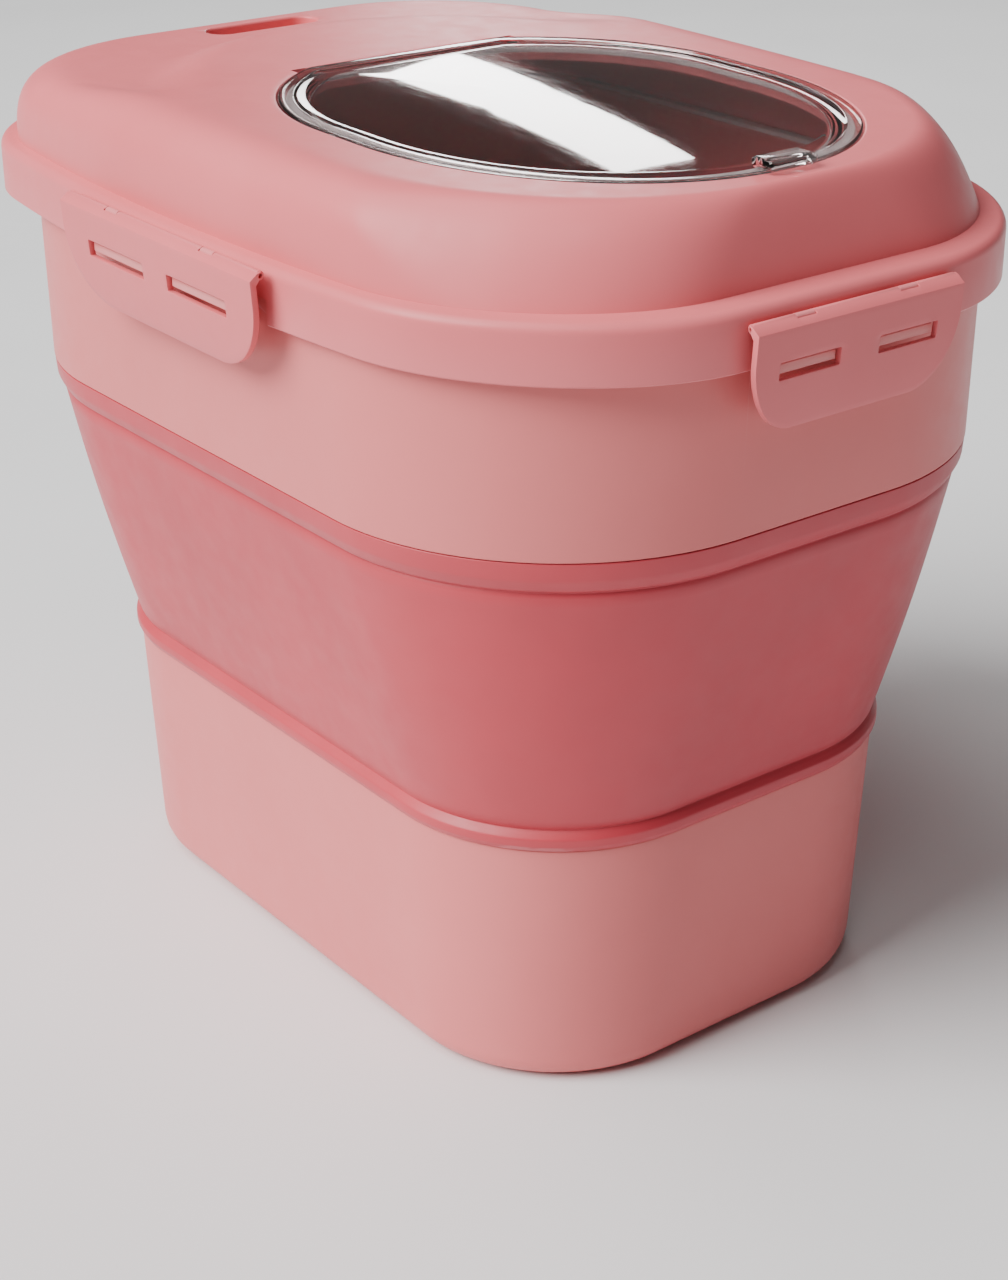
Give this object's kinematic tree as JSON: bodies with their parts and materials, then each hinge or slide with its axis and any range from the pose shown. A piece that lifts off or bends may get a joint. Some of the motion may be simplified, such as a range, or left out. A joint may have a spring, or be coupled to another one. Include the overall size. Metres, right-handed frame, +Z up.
{
  "type": "pet food bin",
  "caption": "Collapsible dry pet food bin: rounded tub, soft fold band, upper ring, domed lid with side and end latches and a clear flip-up window.",
  "frame": {"origin": "floor under the middle of the bin, the bottom centre of its box", "axes": "+Z up; +Y along the length towards the rear, with the window's grip at -Y; +X across the width"},
  "size_m": [0.3046, 0.4136, 0.3573],
  "materials": {
    "body_pink": "satin moulded polypropylene",
    "lid_pink": "satin moulded polypropylene",
    "fold_rose": "satin thermoplastic rubber",
    "seal_white": "soft white silicone",
    "clear_plastic": "clear glossy moulded plastic",
    "pin_steel": "plain steel wire"
  },
  "bodies": {
    "tub": {"lower_tub": "body_pink", "fold_band": "fold_rose"},
    "upper": {"upper_ring": "body_pink", "lid_shell": "lid_pink", "lid_gasket": "seal_white", "window_seal": "seal_white", "window_hinge_pin": "pin_steel", "latch_pin_left": "pin_steel", "latch_pin_right": "pin_steel", "latch_pin_front": "pin_steel", "latch_pin_rear": "pin_steel"},
    "window": {"window_door": "clear_plastic"},
    "latch_left": {"latch_left": "lid_pink"},
    "latch_right": {"latch_right": "lid_pink"},
    "latch_front": {"latch_front": "lid_pink"},
    "latch_rear": {"latch_rear": "lid_pink"}
  },
  "joints": [
    {"name": "collapse", "type": "slide", "parent": "tub", "child": "upper", "axis": [0, 0, -1], "range_m": [0, 0.215], "deforming": ["fold_band"]},
    {"name": "window_hinge", "type": "hinge", "parent": "upper", "child": "window", "pos_m": [0, 0.053, 0.35344], "axis": [-1, 0, 0], "range_deg": [0, 105]},
    {"name": "latch_left_hinge", "type": "hinge", "parent": "upper", "child": "latch_left", "pos_m": [-0.1476, 0, 0.3188], "axis": [0, 1, 0], "range_deg": [0, 110]},
    {"name": "latch_right_hinge", "type": "hinge", "parent": "upper", "child": "latch_right", "pos_m": [0.1476, 0, 0.3188], "axis": [0, -1, 0], "range_deg": [0, 110]},
    {"name": "latch_front_hinge", "type": "hinge", "parent": "upper", "child": "latch_front", "pos_m": [0, -0.2021, 0.3145], "axis": [-1, 0, 0], "range_deg": [0, 110]},
    {"name": "latch_rear_hinge", "type": "hinge", "parent": "upper", "child": "latch_rear", "pos_m": [0, 0.2021, 0.3145], "axis": [1, 0, 0], "range_deg": [0, 110]}
  ]
}
